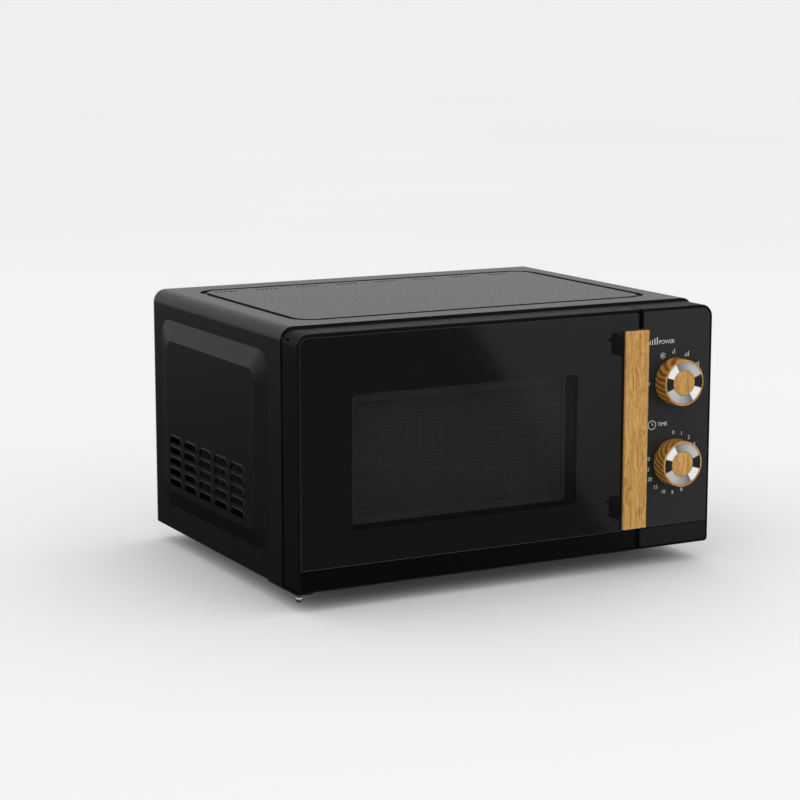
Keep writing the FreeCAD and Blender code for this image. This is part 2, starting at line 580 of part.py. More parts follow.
tb = tb.fuse([cyl(hx - 20, FRONT_Y + 5.0, KNOB_Z_TIMER + 18, 2, 2, (0, 1, 0)),
              cyl(hx + 20, FRONT_Y + 5.0, KNOB_Z_TIMER - 18, 2, 2, (0, 1, 0))])
save("timer_body", tb)


def knob(name, z):
    f = FRONT_Y
    b = revolve_y([(3.0, f - 0.6), (KNOB_R, f - 0.6), (KNOB_R, f - 3.0),
                   (KNOB_R - 0.3, f - KNOB_PROUD + 0.6),
                   (KNOB_R - 0.9, f - KNOB_PROUD), (20.2, f - KNOB_PROUD),
                   (20.2, f - KNOB_PROUD + 1.6), (12.1, f - KNOB_PROUD + 1.6),
                   (12.1, f - KNOB_PROUD + 5.0), (3.0, f - KNOB_PROUD + 5.0)],
                  KNOB_X, z)
    save(name + "_body", b)
    r = revolve_y([(12.6, f - KNOB_PROUD + 0.3), (19.7, f - KNOB_PROUD + 0.3),
                   (20.2, f - KNOB_PROUD + 0.8), (20.2, f - KNOB_PROUD + 1.6),
                   (12.1, f - KNOB_PROUD + 1.6), (12.1, f - KNOB_PROUD + 0.8)],
                  KNOB_X, z)
    save(name + "_ring", r)
    c = revolve_y([(0, f - KNOB_PROUD + 0.2), (11.2, f - KNOB_PROUD + 0.2),
                   (12.1, f - KNOB_PROUD + 1.0), (12.1, f - KNOB_PROUD + 5.0),
                   (0, f - KNOB_PROUD + 5.0)], KNOB_X, z)
    save(name + "_cap", c)
    s = cyl(KNOB_X, f - KNOB_PROUD + 5.0, z, 3.0, KNOB_PROUD - 5.0 + 18, (0, 1, 0))
    save(name + "_shaft", s)


knob("power_knob", KNOB_Z_POWER)
knob("timer_knob", KNOB_Z_TIMER)

# ---- latch holder and switches ------------------------------------------------------
lhx0, lhx1 = 112.5, 137.0
lhd = box(lhx0, lhx1, COVER_Y0 + 1.5, -96, 70, 208)
lhd = lhd.cut([box(115.0, 134.5, COVER_Y0 + 1, -97.5, 173, 200),
               box(115.0, 134.5, COVER_Y0 + 1, -97.5, 76, 104),
               box(115.0, 134.5, COVER_Y0 + 4, -99, 108, 169),
               cyl(LATCH_X, -99, LATCH_Z_UP, 2.4, 5, (0, 1, 0)),
               cyl(121.0, -99, LATCH_Z_LOW, 2.4, 5, (0, 1, 0)),
               cyl(129.0, -99, LATCH_Z_LOW, 2.4, 5, (0, 1, 0))])
save("latch_holder", lhd)
SW = [("upper", LATCH_X, LATCH_Z_UP), ("lower", 121.0, LATCH_Z_LOW),
      ("monitor", 129.0, LATCH_Z_LOW)]
sws = []
for nm, x, z in SW:
    s = box(x - 3.2, x + 3.2, -96, -85, z - 12, z + 8)
    s = s.cut(cyl(x, -97, z, 1.9, 8, (0, 1, 0)))
    s = s.fuse([box(x - 1.6, x + 1.6, -85, -79, z - 10, z - 9.2),
                box(x - 1.6, x + 1.6, -85, -79, z + 4.2, z + 5)])
    sws.append(s)
    save("plunger_" + nm, fuse([cyl(x, -103.3, z, 1.5, 12, (0, 1, 0)),
                               Part.makeSphere(1.5, V(x, -103.3, z))]))
save("interlock_switches", Part.makeCompound(sws))

# ---- hinges -------------------------------------------------------------------------
hxc, hyc = HINGE
up = slab_z(hxc - 3.2, hxc + 8, hyc - 3.4, COVER_Y0, 240.2, 241.4, (3, 3, 0, 0))
up = up.fuse([cyl(hxc, hyc, 231.0, 2.0, 10.4),
              box(hxc - 1, hxc + 8, COVER_Y0 - 0.9, COVER_Y0, 234, 243)])

# the rear outer corner of the upper plate is nipped off to clear the rolled cover edge
up = up.cut(box(-218, -215.5, COVER_LIP - 0.25, COVER_Y0 + 0.2, 239, 242))

lo = slab_z(-217.2, -198.0, -148.0, -85, ZB - 1.6, ZB, (3.6, 8, 3, 3))
lo = lo.fuse([cyl(hxc, hyc, ZB, 2.0, 13.0)])
save("hinge_brackets", Part.makeCompound([up.removeSplitter(),
                                          lo.removeSplitter()]))

# ---- door ---------------------------------------------------------------------------
df = slab_y(DOOR_X0, DOOR_X1, FRONT_Z0, FRONT_Z1, FRONT_Y, DOOR_BACK,
            (2.4, 0, 0, EDGE_R))
df = front_rim(df, 1.2)
# the corner behind the pins is taken back so that it clears the cover as it turns
hp = [(hxc + 0.6, DOOR_BACK + 1), (hxc + 0.6, hyc + HINGE_R)]
for k in range(0, 9):
    t = math.radians(90 + 11.25 * k)
    hp.append((hxc + HINGE_R * math.cos(t), hyc + HINGE_R * math.sin(t)))
hp += [(hxc - HINGE_R, hyc - 0.6), (DOOR_X0 - 1, hyc - 0.6), (DOOR_X0 - 1, DOOR_BACK + 1)]
hp = [(min(x, hxc + 0.6), y) for x, y in hp]
poly = Part.makePolygon([V(x, y, FRONT_Z0 - 1) for x, y in hp + hp[:1]])
df = df.cut(Part.Face(poly).extrude(V(0, 0, 240)))
wx0_, wx1_, wz0_, wz1_ = WIN
inner = slab_y(DOOR_X0 + 2.5, DOOR_X1 - 2.5, FRONT_Z0 + 2.4, FRONT_Z1 - 2.6,
               FRONT_Y + 6.5, DOOR_BACK + 1, (1, 0, 0, 9.6))
reveal = slab_y(wx0_ - 2, wx1_ + 2, wz0_ - 2, wz1_ + 2, FRONT_Y + 6, -132.0, 4)
corner = fuse([box(hxc - 7.5, hxc + 7.6, hyc - 8, hyc, FRONT_Z0, FRONT_Z1),
               box(hxc, hxc + 7.6, hyc - 1, DOOR_BACK + 2, FRONT_Z0, FRONT_Z1),
               cyl(hxc, hyc, FRONT_Z0, HINGE_R, FRONT_Z1 - FRONT_Z0)])
inner = inner.cut([reveal,
                   corner.common(box(-300, 0, -300, 300, 0, 34)),
                   corner.common(box(-300, 0, -300, 300, 228, 300))])
df = df.cut(inner)
df = df.cut([slab_y(DOOR_X0 + 2.5, DOOR_X1 - 2.2, FRONT_Z0 + 2.2, FRONT_Z1 - 3.4,
                    FRONT_Y - 1, FRONT_Y + 3.5, (2, 0.5, 3, 8)),
             slab_y(wx0_, wx1_, wz0_, wz1_, FRONT_Y - 1, -100, 3),
             box(-230, hxc + 12, hyc - 10.8, -100, 239.8, 241.8),
             cyl(hxc, hyc, FRONT_Z0 - 2, 2.35, 16.0),
             cyl(hxc, hyc, 230.0, 2.35, 11.0)])
HSC = [(116.7, 62.9), (116.7, 217.6)]
df = df.cut([cyl(x, FRONT_Y - 1, z, 2.4, 20, (0, 1, 0)) for x, z in HSC])
# guides for the latch slider, inside the right side of the door
guides = []
for gz in (110.0, 158.0):
    guides.append(box(LATCH_X - 10, LATCH_X - 4.4, FRONT_Y + 6.4, -134, gz, gz + 6))
    guides.append(box(LATCH_X + 4.4, DOOR_X1 - 2.4, FRONT_Y + 6.4, -134, gz, gz + 6))
df = df.multiFuse(guides).removeSplitter()
save("door_frame", df)

gl = slab_y(DOOR_X0 + 3.0, DOOR_X1 - 2.7, TRIM_Z + 0.5, FRONT_Z1 - 3.9,
            FRONT_Y + 0.2, FRONT_Y + 3.5, (0.4, 0.4, 2.5, 7.5))
gl = gl.cut([cyl(x, FRONT_Y - 1, z, 2.4, 20, (0, 1, 0)) for x, z in HSC])
save("door_glass", gl)
dtr = slab_y(DOOR_X0 + 3.0, DOOR_X1 - 2.7, FRONT_Z0 + 2.7, TRIM_Z - 0.5,
             FRONT_Y + 0.2, FRONT_Y + 3.5, (1.5, 0.4, 0.4, 0.4))
save("door_trim", dtr)

scr = slab_y(wx0_ - 8, wx1_ + 8, wz0_ - 8, wz1_ + 8, -132.0, -131.2, 4)
save("window_screen", scr)

ipx0, ipx1, ipz0, ipz1 = -200.5, DOOR_X1 - 4.0, FRONT_Z0 + 4, FRONT_Z1 - 5.0
ip = box(ipx0, ipx1, -131.2, -130.2, ipz0, ipz1)
rimo = box(ipx0, ipx1, -130.2, -121.2, ipz0, ipz1)
rimi = box(ipx0 + 1, ipx1 - 1, -131, -120, ipz0 + 1, ipz1 - 1)
ip = ip.fuse(rimo.cut(rimi))
slotsz = [(LATCH_Z_UP - 5.0, LATCH_Z_UP + 9.5), (LATCH_Z_LOW - 5.0, LATCH_Z_LOW + 9.5)]
ip = ip.cut([slab_y(wx0_ - 2, wx1_ + 2, wz0_ - 2, wz1_ + 2, -133, -129, 3)]
            + [box(117.0, 131.9, -133, -129, a, b) for a, b in slotsz])
save("door_inner_panel", ip.removeSplitter())

cc = box(ipx0, ipx1, -121.2, -119.7, ipz0, ipz1)
cc = cc.fuse(slab_y(wx0_ - 4, wx1_ + 4, wz0_ - 4, wz1_ + 4, -130.2, -121.2, 4))
cc = cc.cut([slab_y(wx0_ - 2, wx1_ + 2, wz0_ - 2, wz1_ + 2, -133, -119, 3)]
            + [box(117.0, 131.9, -123, -119, a, b) for a, b in slotsz])
save("choke_cover", cc.removeSplitter())

# handle: black bar, oak face, two posts, two screws from inside the door
hb = slab_y(HANDLE_X0, HANDLE_X1, HANDLE_Z0, HANDLE_Z1, -174.8, -171.2, 1.2)
hb = hb.cut(slab_y(HANDLE_X0 + 0.7, HANDLE_X1 - 0.7, HANDLE_Z0 + 0.7, HANDLE_Z1 - 0.7,
                   -180, -174.0, 0.8))
hb = hb.cut([cyl(x, -175, z, 2.05, 8, (0, 1, 0)) for x, z in HSC])
save("handle_bar", hb)
hw = slab_y(HANDLE_X0 + 0.7, HANDLE_X1 - 0.7, HANDLE_Z0 + 0.7, HANDLE_Z1 - 0.7,
            -DEPTH / 2, -174.0, 0.8)
hw = hw.makeFillet(0.7, [e for e in hw.Edges
                         if abs(e.BoundBox.YMin + DEPTH / 2) < 0.01
                         and abs(e.BoundBox.YMax + DEPTH / 2) < 0.01])
save("handle_wood_face", hw)
brs = []
for x, z in HSC:
    b = slab_y(HANDLE_X0 + 0.6, HANDLE_X1 - 3.0, z - 9.8, z + 9.8, -171.2,
               FRONT_Y + 0.2, 1.5)
    brs.append(b.cut(cyl(x, -172, z, 2.05, 30, (0, 1, 0))))
save("handle_brackets", Part.makeCompound(brs))
hs = []
for x, z in HSC:
    hs.append(revolve_y([(0, -174.0), (2.0, -174.0), (2.0, FRONT_Y + 6.5),
                         (4.0, FRONT_Y + 6.5), (3.6, FRONT_Y + 9.0),
                         (0, FRONT_Y + 9.0)], x, z))
save("handle_screws", Part.makeCompound(hs))

# latch slider with two hooks
lt = fuse([box(LATCH_X - 4, LATCH_X + 4, -141, -135, 68, 200),
           box(LATCH_X - 3, LATCH_X + 3, -135.5, -104.9, LATCH_Z_UP - 3, LATCH_Z_UP + 4),
           box(LATCH_X - 3, LATCH_X + 3, -110, -105.1, LATCH_Z_UP - 7, LATCH_Z_UP - 2),
           box(LATCH_X - 6, LATCH_X + 6, -135.5, -104.9, LATCH_Z_LOW - 3, LATCH_Z_LOW + 4),
           box(LATCH_X - 6, LATCH_X + 6, -110, -105.1, LATCH_Z_LOW - 7, LATCH_Z_LOW - 2)])
save("latch_hook", lt)
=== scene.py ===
import bpy
import bmesh
import math
from mathutils import Vector, Matrix


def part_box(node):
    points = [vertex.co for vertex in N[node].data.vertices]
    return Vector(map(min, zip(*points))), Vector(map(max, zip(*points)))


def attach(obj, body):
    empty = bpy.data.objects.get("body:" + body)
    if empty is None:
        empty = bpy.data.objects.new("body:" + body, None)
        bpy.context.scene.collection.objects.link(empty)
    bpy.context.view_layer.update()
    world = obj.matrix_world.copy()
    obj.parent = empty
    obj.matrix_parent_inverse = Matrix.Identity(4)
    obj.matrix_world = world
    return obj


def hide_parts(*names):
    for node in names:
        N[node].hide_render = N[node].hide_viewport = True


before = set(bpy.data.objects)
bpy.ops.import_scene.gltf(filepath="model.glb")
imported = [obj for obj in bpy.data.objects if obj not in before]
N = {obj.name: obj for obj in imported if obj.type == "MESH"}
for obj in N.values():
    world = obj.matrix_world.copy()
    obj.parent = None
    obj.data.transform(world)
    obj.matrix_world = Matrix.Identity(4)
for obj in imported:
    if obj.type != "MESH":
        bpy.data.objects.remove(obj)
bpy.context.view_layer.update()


def lin(v):
    v = v / 255.0
    return v / 12.92 if v <= 0.04045 else ((v + 0.055) / 1.055) ** 2.4


def rgb(r, g, b):
    return (lin(r), lin(g), lin(b), 1.0)


# ---------------------------------------------------------------------------
# material building
# ---------------------------------------------------------------------------
class Mat:
    def __init__(self, name, base=(0.5, 0.5, 0.5, 1), rough=0.5, metal=0.0, spec=0.5):
        self.m = bpy.data.materials.new(name)
        self.m.use_nodes = True
        self.t = self.m.node_tree
        self.t.nodes.clear()
        self.out = self.t.nodes.new("ShaderNodeOutputMaterial")
        self.p = self.t.nodes.new("ShaderNodeBsdfPrincipled")
        self.t.links.new(self.p.outputs[0], self.out.inputs[0])
        self.set("Base Color", base)
        self.set("Roughness", rough)
        self.set("Metallic", metal)
        self.set("Specular IOR Level", spec)
        self.tc = self.t.nodes.new("ShaderNodeTexCoord")

    def set(self, socket, v):
        self.p.inputs[socket].default_value = v
        return self

    def n(self, kind, **kw):
        x = self.t.nodes.new(kind)
        for k, v in kw.items():
            setattr(x, k, v)
        return x

    def link(self, a, b):
        self.t.links.new(a, b)

    def mapped(self, scale=(1, 1, 1), rot=(0, 0, 0), loc=(0, 0, 0)):
        mp = self.n("ShaderNodeMapping")
        mp.inputs["Scale"].default_value = scale
        mp.inputs["Rotation"].default_value = rot
        mp.inputs["Location"].default_value = loc
        self.link(self.tc.outputs["Object"], mp.inputs["Vector"])
        return mp.outputs[0]

    def noise(self, scale, detail=3.0, rough=0.55, vec=None, dist=0.0):
        nz = self.n("ShaderNodeTexNoise")
        nz.inputs["Scale"].default_value = scale
        nz.inputs["Detail"].default_value = detail
        nz.inputs["Roughness"].default_value = rough
        nz.inputs["Distortion"].default_value = dist
        self.link(vec if vec is not None else self.tc.outputs["Object"], nz.inputs["Vector"])
        return nz.outputs["Fac"]

    def ramp(self, fac, stops, interp="LINEAR"):
        r = self.n("ShaderNodeValToRGB")
        r.color_ramp.interpolation = interp
        e = r.color_ramp.elements
        while len(e) > 1:
            e.remove(e[-1])
        e[0].position, e[0].color = stops[0]
        for pos, col in stops[1:]:
            x = e.new(pos)
            x.color = col
        self.link(fac, r.inputs[0])
        return r.outputs[0]

    def maprange(self, fac, a, b, c, d):
        mr = self.n("ShaderNodeMapRange")
        for k, v in zip((1, 2, 3, 4), (a, b, c, d)):
            mr.inputs[k].default_value = v
        self.link(fac, mr.inputs[0])
        return mr.outputs[0]

    def math(self, op, a, b=None, c=None):
        mt = self.n("ShaderNodeMath", operation=op)
        for i, v in enumerate((a, b, c)):
            if v is None:
                continue
            if isinstance(v, (int, float)):
                mt.inputs[i].default_value = v
            else:
                self.link(v, mt.inputs[i])
        return mt.outputs[0]

    def mix(self, fac, a, b, blend="MIX"):
        mx = self.n("ShaderNodeMix", data_type="RGBA", blend_type=blend)
        if isinstance(fac, (int, float)):
            mx.inputs[0].default_value = fac
        else:
            self.link(fac, mx.inputs[0])
        for i, v in ((6, a), (7, b)):
            if isinstance(v, (tuple, list)):
                mx.inputs[i].default_value = v
            else:
                self.link(v, mx.inputs[i])
        return mx.outputs[2]

    def color(self, out):
        self.link(out, self.p.inputs["Base Color"])
        return self

    def rough(self, fac, lo, hi):
        self.link(self.maprange(fac, 0.25, 0.75, lo, hi), self.p.inputs["Roughness"])
        return self

    def bump(self, height, strength, distance):
        b = self.n("ShaderNodeBump")
        b.inputs["Strength"].default_value = strength
        b.inputs["Distance"].default_value = distance
        self.link(height, b.inputs["Height"])
        self.link(b.outputs[0], self.p.inputs["Normal"])
        return self


def speckled(name, c0, c1, rough, spec=0.5, metal=0.0, scale=260.0, bump=0.1,
             dist=0.00008, bscale=1500.0, rspan=0.06):
    m = Mat(name, c0, rough, metal, spec)
    f = m.noise(scale, 4.0)
    m.color(m.ramp(f, [(0.3, c0), (0.7, c1)]))
    m.rough(m.noise(scale * 0.4, 3.0), rough - rspan, rough + rspan)
    if bump:
        m.bump(m.noise(bscale, 2.0), bump, dist)
    return m


# light levels of the set, and two sight lines along the slanted card edge
SKY_LOW, SKY_HIGH = 0.86, 0.97
LOW_BACK, LOW_FRONT = 0.02, 0.19
CARD_LOW, CARD_HIGH = 0.28, 0.66
CARD_A = (0.49362, 0.85731, -0.14617)
CARD_B = (0.53321, 0.81469, -0.22796)

M = {}
# powder-coated cover: fine orange-peel under a satin black
M["cover"] = speckled("cover_satin_black", rgb(13, 13, 14), rgb(18, 18, 19), 0.36, 0.18,
                      scale=900.0, bump=0.20, dist=0.00005, bscale=1700.0)
M["frame_black"] = speckled("frame_black_paint", rgb(16, 16, 16), rgb(21, 21, 21), 0.45, 0.2)
M["body"] = speckled("body_black_moulding", rgb(11, 11, 12), rgb(15, 15, 16), 0.50, 0.05,
                     scale=500.0, bump=0.12, dist=0.00003)
M["trim"] = speckled("trim_gloss_black", rgb(4, 4, 4), rgb(6, 6, 7), 0.12, 0.12,
                     scale=300.0, bump=0.03, dist=0.00002, bscale=300.0, rspan=0.02)
M["ptrim"] = speckled("panel_trim_black", rgb(22, 22, 22), rgb(26, 26, 26), 0.34, 0.15,
                      scale=900.0, bump=0.10, dist=0.00003, bscale=2400.0)
M["fascia"] = speckled("fascia_satin_black", rgb(37, 37, 37), rgb(41, 41, 41), 0.42, 0.22,
                       scale=1200.0, bump=0.12, dist=0.00003, bscale=2400.0)
M["handle_black"] = speckled("handle_black_lacquer", rgb(26, 26, 26), rgb(32, 32, 32), 0.45, 0.18)
M["inner_black"] = speckled("inner_black_moulding", rgb(34, 34, 35), rgb(44, 44, 45), 0.55, 0.35)
M["white_plastic"] = speckled("white_moulding", rgb(205, 205, 200), rgb(222, 221, 215), 0.42, 0.45)
M["red_plastic"] = speckled("red_moulding", rgb(165, 36, 30), rgb(185, 48, 38), 0.4, 0.45)
M["rubber"] = speckled("foot_rubber", rgb(26, 26, 26), rgb(36, 36, 36), 0.75, 0.25, bump=0.35,
                       dist=0.0002, bscale=900.0)
M["mica"] = speckled("mica_sheet", rgb(150, 138, 112), rgb(196, 184, 156), 0.35, 0.5, scale=120.0)
M["board"] = speckled("phenolic_board", rgb(142, 110, 62), rgb(166, 130, 78), 0.5, 0.4)
M["enamel"] = speckled("cavity_enamel", rgb(176, 177, 174), rgb(204, 204, 200), 0.30, 0.5,
                       scale=1400.0, bump=0.15, dist=0.00005)

# light enamel inside the cavity, dark sheet on the outside of the liner
m = M["enamel"]
_s = m.n("ShaderNodeSeparateXYZ")
m.link(m.tc.outputs["Object"], _s.inputs[0])
_lo, _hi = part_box("cavity_liner")
_in = None
for _k in range(3):
    for _op, _v in (("GREATER_THAN", _lo[_k] + 0.0005), ("LESS_THAN", _hi[_k] - 0.0005)):
        if _k == 1 and _op == "GREATER_THAN":
            continue
        _q = m.math(_op, _s.outputs[_k], _v)
        _in = _q if _in is None else m.math("MULTIPLY", _in, _q)
m.color(m.mix(_in, m.ramp(m.noise(90.0, 3.0), [(0.3, rgb(20, 20, 21)), (0.7, rgb(28, 28, 29))]),
              m.ramp(m.noise(1400.0, 4.0), [(0.3, rgb(176, 177, 174)), (0.7, rgb(204, 204, 200))])))


def sheet_metal(name, c0, c1, rough, stretch=(1, 1, 30), scale=60.0):
    m = Mat(name, c0, rough, 1.0)
    v = m.mapped(stretch)
    f = m.noise(scale, 5.0, 0.6, v)
    m.color(m.ramp(f, [(0.3, c0), (0.7, c1)]))
    m.rough(f, rough - 0.08, rough + 0.10)
    m.bump(f, 0.08, 0.0001)
    return m


M["zinc"] = sheet_metal("zinc_sheet", rgb(150, 150, 148), rgb(186, 186, 182), 0.38, (1, 1, 4), 90.0)
M["steel"] = sheet_metal("plain_steel", rgb(160, 160, 160), rgb(200, 200, 200), 0.30)
M["alu"] = sheet_metal("drawn_aluminium", rgb(186, 187, 188), rgb(220, 221, 222), 0.28)
M["lam"] = Mat("stacked_laminations", rgb(70, 70, 72), 0.5, 0.6)
_v = M["lam"].mapped((1, 900, 1))
_f = M["lam"].noise(2.0, 1.0, 0.5, _v)
M["lam"].color(M["lam"].ramp(_f, [(0.35, rgb(46, 46, 48)), (0.65, rgb(92, 92, 94))])).bump(_f, 0.4, 0.0003)
M["copper"] = Mat("enamelled_wire", rgb(150, 78, 36), 0.35, 0.7)
_v = M["copper"].mapped((1, 1, 1400))
_f = M["copper"].noise(1.0, 0.5, 0.5, _v)
M["copper"].color(M["copper"].ramp(_f, [(0.35, rgb(110, 52, 24)), (0.65, rgb(190, 108, 56))])).bump(_f, 0.5, 0.0004)

# oak: wavy near-upright fibres, broad soft bands and short dark pores
def oak(name, tone=1.0, painted_shade_side=None):
    m = Mat(name, rgb(180, 136, 79), 0.48, 0.0, 0.16)
    def c(r, g, b):
        q = rgb(r, g, b)
        return (q[0] * tone, q[1] * tone, q[2] * tone, 1)
    # slow sideways drift of the grain with height
    wv = m.n("ShaderNodeTexNoise")
    wv.inputs["Scale"].default_value = 38.0
    wv.inputs["Detail"].default_value = 2.0
    m.link(m.tc.outputs["Object"], wv.inputs["Vector"])
    off = m.n("ShaderNodeVectorMath", operation="MULTIPLY_ADD")
    m.link(wv.outputs["Color"], off.inputs[0])
    off.inputs[1].default_value = (0.006, 0.006, 0.0)
    m.link(m.tc.outputs["Object"], off.inputs[2])

    def along(scale, rot=(0, 0, 0)):
        mp = m.n("ShaderNodeMapping")
        mp.inputs["Scale"].default_value = scale
        mp.inputs["Rotation"].default_value = rot
        m.link(off.outputs[0], mp.inputs["Vector"])
        return mp.outputs[0]

    fibre = m.noise(1.0, 3.0, 0.62, along((640, 640, 26), (0.0, 0.07, 0)), 0.5)
    band = m.noise(1.0, 3.0, 0.55, along((120, 120, 5)), 1.2)
    pore = m.noise(1.0, 1.0, 0.5, along((1500, 1500, 90), (0.0, 0.07, 0)))
    base = m.ramp(band, [(0.30, c(176, 124, 60)), (0.50, c(194, 146, 80)), (0.70, c(210, 165, 98))])
    fib = m.ramp(fibre, [(0.34, c(146, 98, 44)), (0.48, c(194, 145, 79)), (0.66, c(224, 182, 114))])
    col = m.mix(0.62, base, fib)
    dark = m.ramp(pore, [(0.56, (1, 1, 1, 1)), (0.68, (0.60, 0.52, 0.42, 1))])
    col = m.mix(0.9, col, dark, "MULTIPLY")
    if painted_shade_side is not None:
        # turned side: end and quarter grain with curved figure, darker as painted shade; the front rim stays
        # lighter as a painted highlight
        sep = m.n("ShaderNodeSeparateXYZ")
        m.link(m.tc.outputs["Object"], sep.inputs[0])
        wav = m.n("ShaderNodeTexWave", wave_type="RINGS", rings_direction="X")
        wav.inputs["Scale"].default_value = 80.0
        wav.inputs["Distortion"].default_value = 6.0
        wav.inputs["Detail"].default_value = 3.0
        wav.inputs["Detail Scale"].default_value = 0.6
        mp = m.n("ShaderNodeMapping")
        mp.inputs["Location"].default_value = (0, 0.172, -painted_shade_side[0])
        mp.inputs["Scale"].default_value = (0.5, 1.0, 0.75)
        m.link(m.tc.outputs["Object"], mp.inputs["Vector"])
        m.link(mp.outputs[0], wav.inputs["Vector"])
        fig = m.ramp(wav.outputs["Fac"], [(0.20, rgb(142, 94, 40)), (0.50, rgb(184, 129, 60)),
                                          (0.85, rgb(210, 156, 80))])
        fine = m.ramp(fibre, [(0.35, (0.72, 0.68, 0.62, 1)), (0.6, (1.05, 1.05, 1.05, 1))])
        fig = m.mix(0.8, fig, fine, "MULTIPLY")
        # mask for the painted shade: the side behind the front rim is darker, the rim keeps the lighter face colour
        painted_shade_side_mask = m.maprange(sep.outputs[1], painted_shade_side[1] + 0.0004, painted_shade_side[1] + 0.0011, 0, 1)
        col = m.mix(painted_shade_side_mask, col, fig)
    m.color(col)
    m.rough(fibre, 0.40, 0.54)
    m.bump(m.math("ADD", fibre, m.math("MULTIPLY", pore, -0.6)), 0.16, 0.00012)
    return m


M["oak_handle"] = oak("oak_long_grain", 0.96)
M["oak_knob"] = oak("oak_knob_cap", 0.96)
M["oak_power"] = oak("oak_power_knob_painted_shade_side", 1.0, ((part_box("power_knob_body")[0][2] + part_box("power_knob_body")[1][2]) / 2,
                                             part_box("power_knob_body")[0][1]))
M["oak_timer"] = oak("oak_timer_knob_painted_shade_side", 1.0, ((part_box("timer_knob_body")[0][2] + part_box("timer_knob_body")[1][2]) / 2,
                                             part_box("timer_knob_body")[0][1]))


# spun face: painted reflection, light and dark sectors painted into the colour by the
# angle about each knob's own centre, with fine concentric turning marks
def spun_painted_reflection(name, cx, cz):
    m = Mat(name, (0.6, 0.6, 0.6, 1), 0.32, 0.2, 0.5)
    sep = m.n("ShaderNodeSeparateXYZ")
    m.link(m.tc.outputs["Object"], sep.inputs[0])
    dx = m.math("SUBTRACT", sep.outputs[0], cx)
    dz = m.math("SUBTRACT", sep.outputs[2], cz)
    ang = m.math("ARCTAN2", dz, dx)
    fac = m.math("FRACT", m.math("ADD", m.math("DIVIDE", ang, 2 * math.pi), 1.0))
    g = lambda v: rgb(v, v, v)
    def a(d):
        return (d % 360) / 360.0
    # black and white sectors: painted reflection of the spun ring's highlights
    stops = [(0.0, g(8)), (a(20), g(8)), (a(24), g(206)), (a(60), g(196)), (a(100), g(150)),
             (a(117), g(112)), (a(121), g(255)), (a(160), g(255)), (a(163), g(8)),
             (a(200), g(8)), (a(203), g(206)), (a(240), g(196)), (a(280), g(150)),
             (a(299), g(112)), (a(303), g(255)), (a(341), g(255)), (a(344), g(8)), (1.0, g(8))]
    col = m.ramp(fac, stops)
    rad = m.math("SQRT", m.math("ADD", m.math("MULTIPLY", dx, dx), m.math("MULTIPLY", dz, dz)))
    w = m.math("SINE", m.math("MULTIPLY", rad, 2 * math.pi / 0.00065))
    tint = m.ramp(m.maprange(w, -1, 1, 0, 1), [(0.0, (0.86, 0.86, 0.86, 1)), (1.0, (1, 1, 1, 1))])
    m.color(m.mix(1.0, col, tint, "MULTIPLY"))
    m.bump(w, 0.05, 0.00002)
    return m


def centre(node):
    lo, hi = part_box(node)
    return [(lo[i] + hi[i]) / 2 for i in range(3)]


pk, tk = centre("power_knob_ring"), centre("timer_knob_ring")
M["ring_painted_reflection_power"] = spun_painted_reflection("spun_ring_painted_reflection_power", pk[0], pk[2])
M["ring_painted_reflection_timer"] = spun_painted_reflection("spun_ring_painted_reflection_timer", tk[0], tk[2])

# door glass: backed black outside the window, smoked clear inside it
flo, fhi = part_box("door_glass")
WX0, WX1, WZ0, WZ1 = -0.1647, 0.0676, 0.0694, 0.1912
m = Mat("door_glass_smoked", rgb(9, 9, 10), 0.045, 0.0, 0.30)
sep = m.n("ShaderNodeSeparateXYZ")
m.link(m.tc.outputs["Object"], sep.inputs[0])
inx = m.math("MULTIPLY", m.math("GREATER_THAN", sep.outputs[0], WX0),
             m.math("LESS_THAN", sep.outputs[0], WX1))
inz = m.math("MULTIPLY", m.math("GREATER_THAN", sep.outputs[2], WZ0),
             m.math("LESS_THAN", sep.outputs[2], WZ1))
inside = m.math("MULTIPLY", inx, inz)
# rounded corners of the clear area
WR = 0.0045
qx = m.math("MAXIMUM", m.math("SUBTRACT", m.math("ABSOLUTE", m.math("SUBTRACT", sep.outputs[0], (WX0 + WX1) / 2)),
                              (WX1 - WX0) / 2 - WR), 0.0)
qz = m.math("MAXIMUM", m.math("SUBTRACT", m.math("ABSOLUTE", m.math("SUBTRACT", sep.outputs[2], (WZ0 + WZ1) / 2)),
                              (WZ1 - WZ0) / 2 - WR), 0.0)
rd = m.math("SQRT", m.math("ADD", m.math("MULTIPLY", qx, qx), m.math("MULTIPLY", qz, qz)))
inside = m.math("MULTIPLY", inside, m.math("LESS_THAN", rd, WR))
m.link(m.maprange(inside, 0, 1, 1.0, 0.48), m.p.inputs["Alpha"])
f = m.noise(40.0, 2.0)
m.color(m.ramp(f, [(0.3, rgb(8, 8, 9)), (0.7, rgb(11, 11, 12))]))
m.rough(f, 0.035, 0.06)
M["glass"] = m

m = Mat("tray_clear_glass", (0.90, 0.95, 0.94, 1), 0.04, 0.0, 0.5)
m.set("Transmission Weight", 0.92).set("IOR", 1.48)
f = m.noise(60.0, 2.0)
m.color(m.ramp(f, [(0.3, (0.86, 0.93, 0.92, 1)), (0.7, (0.93, 0.97, 0.96, 1))]))
m.rough(f, 0.03, 0.07)
M["tray"] = m
m = Mat("lamp_clear_glass", (0.95, 0.93, 0.88, 1), 0.05, 0.0, 0.5)
m.set("Transmission Weight", 0.9).set("IOR", 1.45)
f = m.noise(90.0, 2.0)
m.color(m.ramp(f, [(0.3, (0.93, 0.90, 0.84, 1)), (0.7, (0.97, 0.95, 0.90, 1))]))
M["lamp"] = m
M["screen"] = speckled("perforated_sheet_paint", rgb(138, 138, 139), rgb(150, 150, 151), 0.5, 0.3)
m = Mat("printed_marks", rgb(214, 214, 212), 0.55, 0.0, 0.3)
f = m.noise(2500.0, 2.0)
m.color(m.ramp(f, [(0.3, rgb(190, 190, 188)), (0.7, rgb(222, 222, 220))]))
m.rough(f, 0.5, 0.6)
M["marks"] = m

